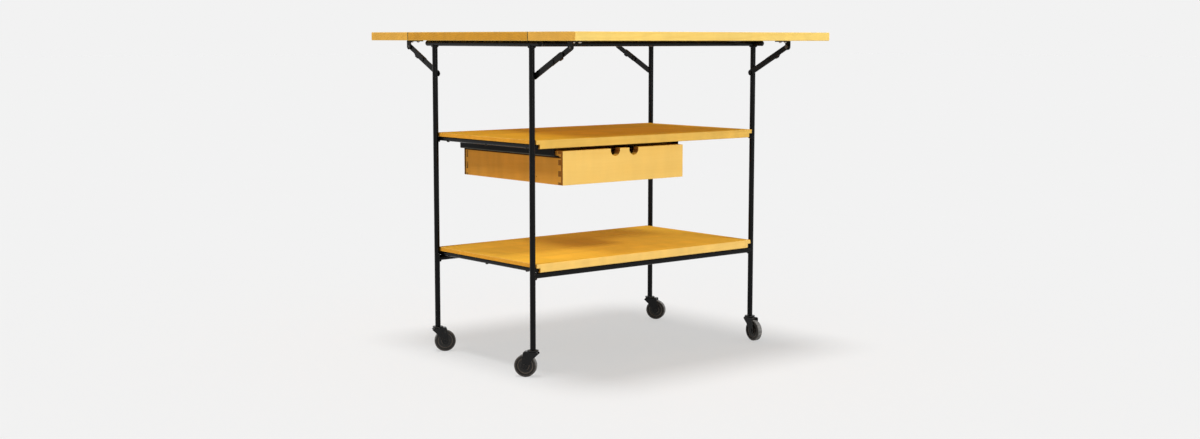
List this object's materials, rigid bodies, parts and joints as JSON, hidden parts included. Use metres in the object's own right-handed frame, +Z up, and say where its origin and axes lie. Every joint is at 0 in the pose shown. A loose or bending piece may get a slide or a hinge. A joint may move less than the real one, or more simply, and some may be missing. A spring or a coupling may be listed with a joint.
{
  "type": "room service table",
  "caption": "Serving table with drop leaves, two shelves and a drawer on a rod frame with swivel casters; the leaves fold down on elbow braces.",
  "frame": {"origin": "on the floor, under the middle of the table with its leaves up", "axes": "+X along the table's length to the right, +Y from the drawer's front to the back, +Z up"},
  "size_m": [0.762, 0.7746, 0.7493],
  "materials": {
    "maple_top": "clear satin lacquer",
    "maple_shelf": "clear satin lacquer",
    "maple_drawer": "clear satin lacquer",
    "birch_ply": "clear lacquer",
    "black_steel": "satin black paint",
    "black_hardware": "satin black",
    "caster_steel": "gloss black",
    "wheel_tread": "matte dark rubber"
  },
  "bodies": {
    "frame": {"top_panel": "maple_top", "hinge_plates_fixed": "black_hardware", "hinge_pins": "black_hardware", "top_rail_left": "black_steel", "top_rail_right": "black_steel", "top_rail_front": "black_steel", "top_rail_back": "black_steel", "middle_rail_left": "black_steel", "middle_rail_right": "black_steel", "lower_rail_left": "black_steel", "lower_rail_right": "black_steel", "lower_rail_front": "black_steel", "lower_rail_back": "black_steel", "leg_front_left": "black_steel", "leg_back_left": "black_steel", "leg_back_right": "black_steel", "leg_front_right": "black_steel", "weld_beads": "black_steel", "middle_shelf": "maple_shelf", "lower_shelf": "maple_shelf", "runner_left": "black_hardware", "runner_right": "black_hardware", "brace_leg_studs": "black_hardware", "caster_stems": "caster_steel"},
    "front_leaf": {"front_leaf": "maple_top", "hinge_plates_front": "black_hardware", "leaf_bracket_front_left": "black_hardware", "leaf_bracket_front_right": "black_hardware", "front_leaf_fasteners": "black_hardware"},
    "back_leaf": {"back_leaf": "maple_top", "hinge_plates_back": "black_hardware", "leaf_bracket_back_left": "black_hardware", "leaf_bracket_back_right": "black_hardware", "back_leaf_fasteners": "black_hardware"},
    "drawer": {"drawer_front": "maple_drawer", "drawer_back": "maple_drawer", "drawer_bottom": "birch_ply", "drawer_side_left": "maple_drawer", "drawer_side_right": "maple_drawer"},
    "leg_link_front_left": {"leg_link_front_left": "black_hardware"},
    "leaf_link_front_left": {"leaf_link_front_left": "black_hardware"},
    "caster_fork_front_left": {"caster_fork_front_left": "caster_steel", "caster_axle_front_left": "caster_steel"},
    "caster_wheel_front_left": {"caster_wheel_front_left": "wheel_tread"},
    "leg_link_back_left": {"leg_link_back_left": "black_hardware"},
    "leaf_link_back_left": {"leaf_link_back_left": "black_hardware"},
    "caster_fork_back_left": {"caster_fork_back_left": "caster_steel", "caster_axle_back_left": "caster_steel"},
    "caster_wheel_back_left": {"caster_wheel_back_left": "wheel_tread"},
    "leg_link_back_right": {"leg_link_back_right": "black_hardware"},
    "leaf_link_back_right": {"leaf_link_back_right": "black_hardware"},
    "caster_fork_back_right": {"caster_fork_back_right": "caster_steel", "caster_axle_back_right": "caster_steel"},
    "caster_wheel_back_right": {"caster_wheel_back_right": "wheel_tread"},
    "leg_link_front_right": {"leg_link_front_right": "black_hardware"},
    "leaf_link_front_right": {"leaf_link_front_right": "black_hardware"},
    "caster_fork_front_right": {"caster_fork_front_right": "caster_steel", "caster_axle_front_right": "caster_steel"},
    "caster_wheel_front_right": {"caster_wheel_front_right": "wheel_tread"}
  },
  "joints": [
    {"name": "front_leaf_drop", "type": "hinge", "parent": "frame", "child": "front_leaf", "pos_m": [0, -0.2286, 0.73025], "axis": [1, 0, 0], "range_deg": [0, 90]},
    {"name": "back_leaf_drop", "type": "hinge", "parent": "frame", "child": "back_leaf", "pos_m": [0, 0.2286, 0.73025], "axis": [-1, 0, 0], "range_deg": [0, 90]},
    {"name": "drawer_slide", "type": "slide", "parent": "frame", "child": "drawer", "axis": [0, -1, 0], "range_m": [0, 0.25]},
    {"name": "leg_link_front_left_pivot", "type": "hinge", "parent": "frame", "child": "leg_link_front_left", "pos_m": [-0.3278, -0.1842, 0.654], "axis": [1, 0, 0], "range_deg": [0, 98.18]},
    {"name": "leaf_link_front_left_pivot", "type": "hinge", "parent": "front_leaf", "child": "leaf_link_front_left", "pos_m": [-0.325, -0.3053, 0.71625], "axis": [1, 0, 0], "range_deg": [-146.21, 0]},
    {"name": "caster_swivel_front_left", "type": "hinge", "parent": "frame", "child": "caster_fork_front_left", "pos_m": [-0.3357, -0.1842, 0.059], "axis": [0, 0, 1], "continuous": true},
    {"name": "wheel_spin_front_left", "type": "hinge", "parent": "caster_fork_front_left", "child": "caster_wheel_front_left", "pos_m": [-0.34631, -0.17156, 0.025], "axis": [-0.766, -0.6428, 0], "continuous": true},
    {"name": "leg_link_back_left_pivot", "type": "hinge", "parent": "frame", "child": "leg_link_back_left", "pos_m": [-0.3278, 0.1842, 0.654], "axis": [-1, 0, 0], "range_deg": [0, 98.18]},
    {"name": "leaf_link_back_left_pivot", "type": "hinge", "parent": "back_leaf", "child": "leaf_link_back_left", "pos_m": [-0.325, 0.3053, 0.71625], "axis": [-1, 0, 0], "range_deg": [-146.21, 0]},
    {"name": "caster_swivel_back_left", "type": "hinge", "parent": "frame", "child": "caster_fork_back_left", "pos_m": [-0.3357, 0.1842, 0.059], "axis": [0, 0, 1], "continuous": true},
    {"name": "wheel_spin_back_left", "type": "hinge", "parent": "caster_fork_back_left", "child": "caster_wheel_back_left", "pos_m": [-0.32141, 0.17595, 0.025], "axis": [0.5, 0.866, 0], "continuous": true},
    {"name": "leg_link_back_right_pivot", "type": "hinge", "parent": "frame", "child": "leg_link_back_right", "pos_m": [0.3278, 0.1842, 0.654], "axis": [-1, 0, 0], "range_deg": [0, 98.18]},
    {"name": "leaf_link_back_right_pivot", "type": "hinge", "parent": "back_leaf", "child": "leaf_link_back_right", "pos_m": [0.325, 0.3053, 0.71625], "axis": [-1, 0, 0], "range_deg": [-146.21, 0]},
    {"name": "caster_swivel_back_right", "type": "hinge", "parent": "frame", "child": "caster_fork_back_right", "pos_m": [0.3357, 0.1842, 0.059], "axis": [0, 0, 1], "continuous": true},
    {"name": "wheel_spin_back_right", "type": "hinge", "parent": "caster_fork_back_right", "child": "caster_wheel_back_right", "pos_m": [0.34516, 0.17068, 0.025], "axis": [0.8192, 0.5736, 0], "continuous": true},
    {"name": "leg_link_front_right_pivot", "type": "hinge", "parent": "frame", "child": "leg_link_front_right", "pos_m": [0.3278, -0.1842, 0.654], "axis": [1, 0, 0], "range_deg": [0, 98.18]},
    {"name": "leaf_link_front_right_pivot", "type": "hinge", "parent": "front_leaf", "child": "leaf_link_front_right", "pos_m": [0.325, -0.3053, 0.71625], "axis": [1, 0, 0], "range_deg": [-146.21, 0]},
    {"name": "caster_swivel_front_right", "type": "hinge", "parent": "frame", "child": "caster_fork_front_right", "pos_m": [0.3357, -0.1842, 0.059], "axis": [0, 0, 1], "continuous": true},
    {"name": "wheel_spin_front_right", "type": "hinge", "parent": "caster_fork_front_right", "child": "caster_wheel_front_right", "pos_m": [0.33375, -0.20058, 0.025], "axis": [0.993, -0.1184, 0], "continuous": true}
  ],
  "couplings": [
    {"joint": "leg_link_front_left_pivot", "follows": "front_leaf_drop", "ratio": 1.0909},
    {"joint": "leaf_link_front_left_pivot", "follows": "front_leaf_drop", "ratio": -1.6246},
    {"joint": "leg_link_back_left_pivot", "follows": "back_leaf_drop", "ratio": 1.0909},
    {"joint": "leaf_link_back_left_pivot", "follows": "back_leaf_drop", "ratio": -1.6246},
    {"joint": "leg_link_back_right_pivot", "follows": "back_leaf_drop", "ratio": 1.0909},
    {"joint": "leaf_link_back_right_pivot", "follows": "back_leaf_drop", "ratio": -1.6246},
    {"joint": "leg_link_front_right_pivot", "follows": "front_leaf_drop", "ratio": 1.0909},
    {"joint": "leaf_link_front_right_pivot", "follows": "front_leaf_drop", "ratio": -1.6246}
  ]
}
